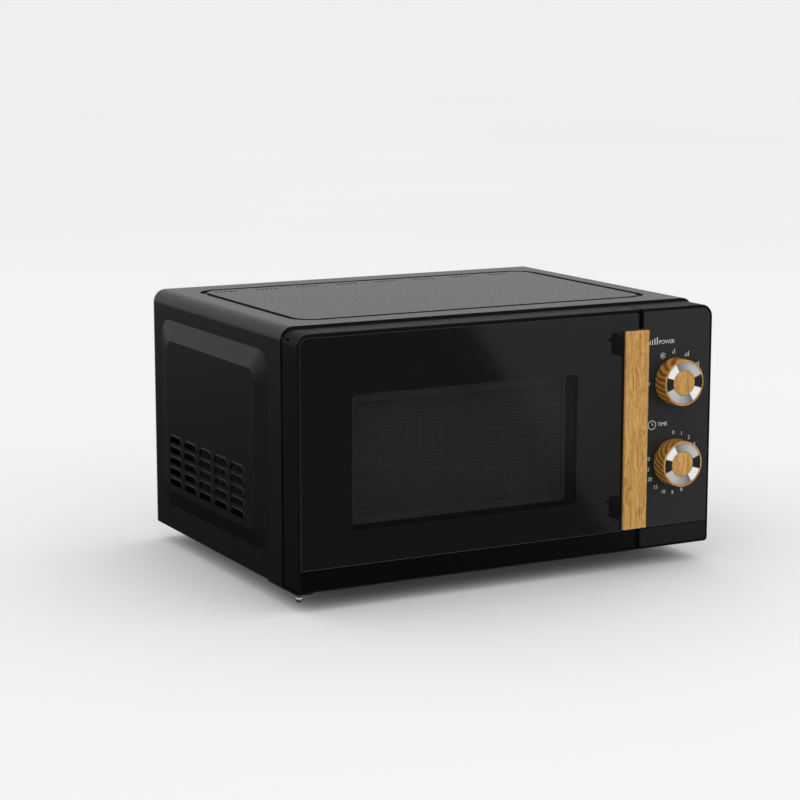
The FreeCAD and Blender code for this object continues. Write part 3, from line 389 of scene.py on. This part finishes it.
ASSIGN = {
    "cover": ["outer_cover"],
    "ptrim": ["panel_trim"],
    "zinc": ["rear_panel", "base_plate", "magnetron_case", "turntable_motor"],
    "steel": ["cabinet_screws", "handle_screws", "power_knob_shaft", "timer_knob_shaft", "waveguide"],
    "frame_black": ["cavity_front_frame", "hinge_brackets", "door_inner_panel"],
    "body": ["door_frame", "control_panel_housing"],
    "trim": ["door_trim"],
    "fascia": ["control_fascia"],
    "handle_black": ["handle_bar", "handle_brackets"],
    "inner_black": ["cord_bush", "hv_diode", "power_switch_body", "timer_body",
                    "interlock_switches", "choke_cover"],
    "white_plastic": ["fan_shroud", "fan_blades", "thermal_cutouts", "lamp_holder",
                      "turntable_coupler", "roller_ring", "roller_wheel_1", "roller_wheel_2",
                      "roller_wheel_3", "latch_holder", "latch_hook"],
    "red_plastic": ["plunger_upper", "plunger_lower", "plunger_monitor"],
    "rubber": ["feet"],
    "mica": ["waveguide_cover"],
    "board": ["filter_board"],
    "enamel": ["cavity_liner"],
    "alu": ["hv_capacitor", "magnetron_tube"],
    "lam": ["transformer_core", "fan_motor"],
    "copper": ["transformer_windings"],
    "oak_handle": ["handle_wood_face"],
    "oak_knob": ["power_knob_cap", "timer_knob_cap"],
    "oak_power": ["power_knob_body"],
    "oak_timer": ["timer_knob_body"],
    "ring_painted_reflection_power": ["power_knob_ring"],
    "ring_painted_reflection_timer": ["timer_knob_ring"],
    "glass": ["door_glass"],
    "tray": ["glass_tray"],
    "lamp": ["cavity_lamp"],
    "screen": ["window_screen"],
}
done = set()
for key, nodes in ASSIGN.items():
    for nm in nodes:
        o = N[nm]
        if not o.material_slots:
            o.data.materials.append(M[key].m)
        for s in o.material_slots:
            s.material = M[key].m
        done.add(nm)
missing = set(N) - done
if missing:
    raise SystemExit("no material for " + ", ".join(sorted(missing)))


def new_object(name, bm, mat, smooth=False):
    me = bpy.data.meshes.new(name)
    bm.normal_update()
    bm.to_mesh(me)
    bm.free()
    if smooth:
        for p in me.polygons:
            p.use_smooth = True
    o = bpy.data.objects.new(name, me)
    bpy.context.scene.collection.objects.link(o)
    me.materials.append(mat.m)
    return o


# ---------------------------------------------------------------------------
# perforated window screen: a real sheet with a square grid of round holes
# ---------------------------------------------------------------------------
def perforated():
    lo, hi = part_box("window_screen")
    x0, x1, z0, z1 = lo[0], hi[0], lo[2], hi[2]
    yf, yb = lo[1], hi[1]
    pitch, r = 0.00290, 0.00100
    fx0, fx1, fz0, fz1 = -0.1530, 0.0652, 0.0750, 0.1812
    nx, nz = int((fx1 - fx0) / pitch), int((fz1 - fz0) / pitch)
    ox = (fx0 + fx1 - nx * pitch) / 2
    oz = (fz0 + fz1 - nz * pitch) / 2
    bm = bmesh.new()
    grid = {}

    def gv(i, j, y):
        k = (i, j, y)
        if k not in grid:
            grid[k] = bm.verts.new((ox + i * pitch / 2, y, oz + j * pitch / 2))
        return grid[k]

    ring8 = [(2, 1), (2, 2), (1, 2), (0, 2), (0, 1), (0, 0), (1, 0), (2, 0)]
    for a in range(nx):
        for b in range(nz):
            cx, cz = ox + (a + 0.5) * pitch, oz + (b + 0.5) * pitch
            # no holes in the rounded corners of the field
            ex = min(cx - ox, ox + nx * pitch - cx)
            ez = min(cz - oz, oz + nz * pitch - cz)
            cr = 0.0075
            if ex < cr and ez < cr and math.hypot(cr - ex, cr - ez) > cr:
                lp = [(0, 0), (1, 0), (2, 0), (2, 1), (2, 2), (1, 2), (0, 2), (0, 1)]
                bm.faces.new([gv(2 * a + i, 2 * b + j, yf) for i, j in lp])
                bm.faces.new([gv(2 * a + i, 2 * b + j, yb) for i, j in reversed(lp)])
                continue
            hf, hb = [], []
            for k in range(8):
                t = math.radians(45 * k)
                hf.append(bm.verts.new((cx + r * math.cos(t), yf, cz + r * math.sin(t))))
                hb.append(bm.verts.new((cx + r * math.cos(t), yb, cz + r * math.sin(t))))
            for k in range(8):
                k2 = (k + 1) % 8
                (i1, j1), (i2, j2) = ring8[k], ring8[k2]
                f1, f2 = gv(2 * a + i1, 2 * b + j1, yf), gv(2 * a + i2, 2 * b + j2, yf)
                b1, b2 = gv(2 * a + i1, 2 * b + j1, yb), gv(2 * a + i2, 2 * b + j2, yb)
                bm.faces.new((hf[k], f1, f2, hf[k2]))
                bm.faces.new((hb[k2], b2, b1, hb[k]))
                bm.faces.new((hf[k2], hb[k2], hb[k], hf[k]))
    # plain margin round the holes, out to the clamped edge
    gx0, gx1 = ox, ox + nx * pitch
    gz0, gz1 = oz, oz + nz * pitch
    for y, flip in ((yf, False), (yb, True)):
        oc = [bm.verts.new((x, y, z)) for x, z in ((x0, z0), (x1, z0), (x1, z1), (x0, z1))]
        sides = [[gv(i, 0, y) for i in range(2 * nx + 1)],
                 [gv(2 * nx, j, y) for j in range(2 * nz + 1)],
                 [gv(i, 2 * nz, y) for i in range(2 * nx, -1, -1)],
                 [gv(0, j, y) for j in range(2 * nz, -1, -1)]]
        for s in range(4):
            a, b = oc[s], oc[(s + 1) % 4]
            row = sides[s]
            mid = len(row) // 2
            for i in range(len(row) - 1):
                o1 = a if i < mid else b
                f = [o1, row[i + 1], row[i]]
                bm.faces.new(f if not flip else f[::-1])
            f = [a, b, row[mid]]
            bm.faces.new(f if not flip else f[::-1])
        if flip:
            bc = oc
        else:
            fc = oc
    for s in range(4):
        bm.faces.new((fc[s], bc[s], bc[(s + 1) % 4], fc[(s + 1) % 4]))
    bmesh.ops.recalc_face_normals(bm, faces=bm.faces)
    return new_object("perforated_screen", bm, M["screen"])


scr = perforated()
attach(scr, "door")
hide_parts("window_screen")

# ---------------------------------------------------------------------------
# painted highlight: a fine light line in the groove round the glass, for the light caught on the rim edges
# ---------------------------------------------------------------------------
def painted_highlight_line():
    glo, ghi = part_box("door_glass")
    x0, x1, z0, z1 = glo[0], ghi[0], glo[2], ghi[2]
    rad = (0.0004, 0.0004, 0.0025, 0.0075)
    cs = [(x0, z0, 180), (x1, z0, 270), (x1, z1, 0), (x0, z1, 90)]
    path = []
    for (cx, cz, a0), r in zip(cs, rad):
        ox = cx + (r if cx == x0 else -r)
        oz = cz + (r if cz == z0 else -r)
        for k in range(9):
            t = math.radians(a0 + 90 * k / 8)
            path.append((ox + r * math.cos(t), oz + r * math.sin(t), math.cos(t), math.sin(t)))
    bm = bmesh.new()
    yf, yb = glo[1] + 0.00005, glo[1] + 0.0010
    rings = []
    for x, z, nx, nz in path:
        rings.append([bm.verts.new((x + nx * d, y, z + nz * d))
                      for d, y in ((0.00002, yb), (0.00002, yf + 0.00012), (0.00014, yf),
                                   (0.00040, yf), (0.00046, yb))])
    n = len(rings)
    for i in range(n):
        a, b = rings[i], rings[(i + 1) % n]
        for k in range(5):
            bm.faces.new((a[k], a[(k + 1) % 5], b[(k + 1) % 5], b[k]))
    bmesh.ops.recalc_face_normals(bm, faces=bm.faces)
    return new_object("glass_edge_painted_highlight", bm, M["edge"])


# the light grey of this line is a painted highlight
M["edge"] = speckled("painted_edge_highlight_grey", rgb(62, 62, 63), rgb(74, 74, 75), 0.35, 0.3, scale=700.0)
edge = painted_highlight_line()
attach(edge, "door")

# ---------------------------------------------------------------------------
# printed marks on the control panel
# ---------------------------------------------------------------------------
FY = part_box("control_fascia")[0][1]
MARK_T = 0.00006
mark_parts = []


def flat_text(s, x, z, h, track=1.0, width=None):
    cu = bpy.data.curves.new("t", "FONT")
    cu.body = s
    cu.size = h / 0.70
    cu.align_x = "CENTER"
    cu.align_y = "CENTER"
    cu.space_character = track
    cu.extrude = MARK_T / 2
    cu.resolution_u = 4
    o = bpy.data.objects.new("t", cu)
    bpy.context.scene.collection.objects.link(o)
    bpy.context.view_layer.update()
    me = bpy.data.meshes.new_from_object(o.evaluated_get(bpy.context.evaluated_depsgraph_get()))
    bpy.data.objects.remove(o)
    wide = 1.0
    if width:
        xs = [v.co.x for v in me.vertices]
        wide = width / (max(xs) - min(xs))
    mt = (Matrix.Translation((x, FY - MARK_T / 2, z)) @ Matrix.Rotation(math.radians(90), 4, "X")
          @ Matrix.Diagonal((wide, 1, 1, 1)))
    me.transform(mt)
    mark_parts.append(me)


def bar(x, z, w, h, rot=0.0):
    bm = bmesh.new()
    bmesh.ops.create_cube(bm, size=1.0)
    bmesh.ops.scale(bm, vec=(w, MARK_T, h), verts=bm.verts)
    bmesh.ops.rotate(bm, cent=(0, 0, 0), matrix=Matrix.Rotation(rot, 3, "Y"), verts=bm.verts)
    bmesh.ops.translate(bm, vec=(x, FY - MARK_T / 2, z), verts=bm.verts)
    me = bpy.data.meshes.new("b")
    bm.to_mesh(me)
    bm.free()
    mark_parts.append(me)


def ring(x, z, r, w, n=40):
    bm = bmesh.new()
    vs = []
    for k in range(n):
        t = 2 * math.pi * k / n
        c, s = math.cos(t), math.sin(t)
        vs.append([bm.verts.new((x + rr * c, FY - yy, z + rr * s))
                   for rr, yy in ((r, 0), (r, MARK_T), (r - w, MARK_T), (r - w, 0))])
    for k in range(n):
        a, b = vs[k], vs[(k + 1) % n]
        for i in range(4):
            bm.faces.new((a[i], b[i], b[(i + 1) % 4], a[(i + 1) % 4]))
    bmesh.ops.recalc_face_normals(bm, faces=bm.faces)
    me = bpy.data.meshes.new("r")
    bm.to_mesh(me)
    bm.free()
    mark_parts.append(me)


kx, kzp, kzt = pk[0], pk[2], tk[2]
labels = ["0", "1", "2", "3", "4", "5", "6", "8", "10", "15", "20", "25", "30"]
labels = ["0", "1", "2", "3", "4", "5", "6", "7", "8", "9", "10", "15", "20", "25", "30"]
step = 279.0 / (len(labels) - 1)
for i, s in enumerate(labels):
    a = math.radians(i * step)
    r = 0.0276 + 0.0030 * (1 - math.cos(a)) / 2
    flat_text(s, kx + r * math.sin(a), kzt + r * math.cos(a), 0.0036)


def bars(x, z, n, w=0.0007, gap=0.0019, h0=0.0024, h1=0.0046):
    for k in range(n):
        h = h0 + (h1 - h0) * (k / max(1, n - 1)) if n > 1 else h0
        bar(x + (k - (n - 1) / 2) * gap, z - h1 / 2 + h / 2, w, h)


for n, deg in ((1, -90), (2, -3), (3, 29), (4, 60), (5, 88)):
    a = math.radians(deg)
    bars(kx + 0.0282 * math.sin(a), kzp + 0.0282 * math.cos(a), n)
a = math.radians(-29)
sx, sz = kx + 0.0282 * math.sin(a), kzp + 0.0282 * math.cos(a)
for k in range(3):
    bar(sx, sz, 0.0005, 0.0062, math.radians(60 * k))
for k in range(6):
    t = math.radians(60 * k)
    for q in (-35, 35):
        bar(sx + 0.0019 * math.sin(t) + 0.0006 * math.sin(t + math.radians(q)),
            sz + 0.0019 * math.cos(t) + 0.0006 * math.cos(t + math.radians(q)),
            0.0004, 0.0014, t + math.radians(q))
# small bar symbol and the plain function words
bars(kx - 0.0257, kzp + 0.0392, 5, 0.0010, 0.0027, 0.0026, 0.0070)
flat_text("POWER", kx - 0.0096, kzp + 0.0376, 0.0037, 1.0, 0.0176)
ring(kx - 0.0245, kzt + 0.0368, 0.0045, 0.0006)
bar(kx - 0.0245, kzt + 0.0380, 0.0005, 0.0026)
bar(kx - 0.0237, kzt + 0.0368, 0.0018, 0.0005)
flat_text("TIME", kx - 0.0127, kzt + 0.0368, 0.0036, 1.0, 0.0108)

bm = bmesh.new()
for me in mark_parts:
    bm.from_mesh(me)
    bpy.data.meshes.remove(me)
marks = new_object("panel_marks", bm, M["marks"])
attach(marks, "cabinet")

# ---------------------------------------------------------------------------
# stage, light, camera
# ---------------------------------------------------------------------------
bm = bmesh.new()
bmesh.ops.create_circle(bm, cap_ends=True, segments=128, radius=420.0)
fm = Mat("pale_floor", rgb(240, 239, 238), 0.85, 0.0, 0.1)
f = fm.noise(0.6, 2.0)
fm.color(fm.ramp(f, [(0.3, (0.885, 0.884, 0.880, 1)), (0.7, (0.905, 0.904, 0.900, 1))]))
floor = new_object("floor", bm, fm)
floor.location = (0, 0, -0.0003)
# flagged out of the reflections, as black cards round a set do for dark goods
floor.visible_glossy = False
for nm in ("handle_bar", "handle_brackets", "handle_wood_face"):
    N[nm].visible_glossy = False

sc = bpy.context.scene
w = bpy.data.worlds.new("studio")
sc.world = w
w.use_nodes = True
t = w.node_tree
bg = t.nodes.get("Background") or t.nodes.new("ShaderNodeBackground")
F_PX = 2256.0
YAW, PITCH = math.radians(27.88), math.radians(-10.01)
CAM = Vector((-1.0345, -1.8861, 0.5289))
FWD = Vector((math.sin(YAW) * math.cos(PITCH), math.cos(YAW) * math.cos(PITCH), math.sin(PITCH)))


def wnode(kind, **kw):
    x = t.nodes.new(kind)
    for k, v in kw.items():
        setattr(x, k, v)
    return x


def wmap(src, a, b, c, d, smooth=False):
    mr = wnode("ShaderNodeMapRange", interpolation_type="SMOOTHSTEP" if smooth else "LINEAR")
    for k, v in zip((1, 2, 3, 4), (a, b, c, d)):
        mr.inputs[k].default_value = v
    t.links.new(src, mr.inputs[0])
    return mr.outputs[0]


def wmath(op, a, b):
    mt = wnode("ShaderNodeMath", operation=op)
    for i, v in enumerate((a, b)):
        if isinstance(v, (int, float)):
            mt.inputs[i].default_value = v
        else:
            t.links.new(v, mt.inputs[i])
    return mt.outputs[0]


def wdot(vec):
    dt = wnode("ShaderNodeVectorMath", operation="DOT_PRODUCT")
    t.links.new(wtc.outputs["Generated"], dt.inputs[0])
    dt.inputs[1].default_value = vec
    return dt.outputs["Value"]


wtc = wnode("ShaderNodeTexCoord")
wz = wdot((0, 0, 1))
# soft tent above, a dark surround below the set line
sky = wmap(wz, 0.0, 0.35, SKY_LOW, SKY_HIGH, True)
toward_front = wmap(wdot((0.47, -0.88, 0)), 0.0, 0.9, LOW_BACK, LOW_FRONT, True)
# one long soft card low in front on the right, with its edge on the slant
R0 = Vector((CARD_A[0], -CARD_A[1], CARD_A[2]))
R1 = Vector((CARD_B[0], -CARD_B[1], CARD_B[2]))
cn = R0.cross(R1).normalized()
if cn.x < 0:
    cn = -cn
card = wmap(wdot(cn), -0.0015, 0.0015, 0.0, 1.0, True)
card = wmath("MULTIPLY", card, wmap(wz, -0.26, -0.12, CARD_LOW, CARD_HIGH))
card = wmath("MULTIPLY", card, wmap(wdot((0.47, -0.88, 0)), 0.75, 0.95, 0.0, 1.0, True))
low = wmath("ADD", toward_front, card)
up = wmap(wz, -0.13, -0.02, 0.0, 1.0, True)
val = wmath("ADD", wmath("MULTIPLY", sky, up),
            wmath("MULTIPLY", low, wmath("SUBTRACT", 1.0, up)))
cmb = wnode("ShaderNodeCombineColor")
t.links.new(wmath("MULTIPLY", val, 0.995), cmb.inputs[0])
t.links.new(val, cmb.inputs[1])
t.links.new(val, cmb.inputs[2])
t.links.new(cmb.outputs[0], bg.inputs[0])
bg.inputs[1].default_value = 1.0


def area(name, loc, target, size, power, color=(1, 1, 1), size_y=None):
    li = bpy.data.lights.new(name, "AREA")
    li.shape = "RECTANGLE" if size_y else "SQUARE"
    li.size = size
    if size_y:
        li.size_y = size_y
    li.energy = power
    li.color = color
    o = bpy.data.objects.new(name, li)
    sc.collection.objects.link(o)
    o.location = loc
    o.rotation_mode = "QUATERNION"
    o.rotation_quaternion = (Vector(target) - Vector(loc)).to_track_quat("-Z", "Y")
    return o


area("key_top", (0.4, 0.3, 2.6), (0, 0, 0.1), 2.4, 4.0)
area("fill_front", (0.6, -2.6, 1.7), (0, -0.1, 0.12), 1.2, 5.0)

cam_d = bpy.data.cameras.new("camera")
cam = bpy.data.objects.new("camera", cam_d)
sc.collection.objects.link(cam)
cam_d.sensor_width = 36.0
cam_d.lens = F_PX / 800.0 * 36.0
cam_d.clip_start, cam_d.clip_end = 0.05, 1500.0
cam.location = CAM
cam.rotation_mode = "QUATERNION"
cam.rotation_quaternion = FWD.to_track_quat("-Z", "Y")
sc.camera = cam
sc.view_settings.view_transform = "Standard"
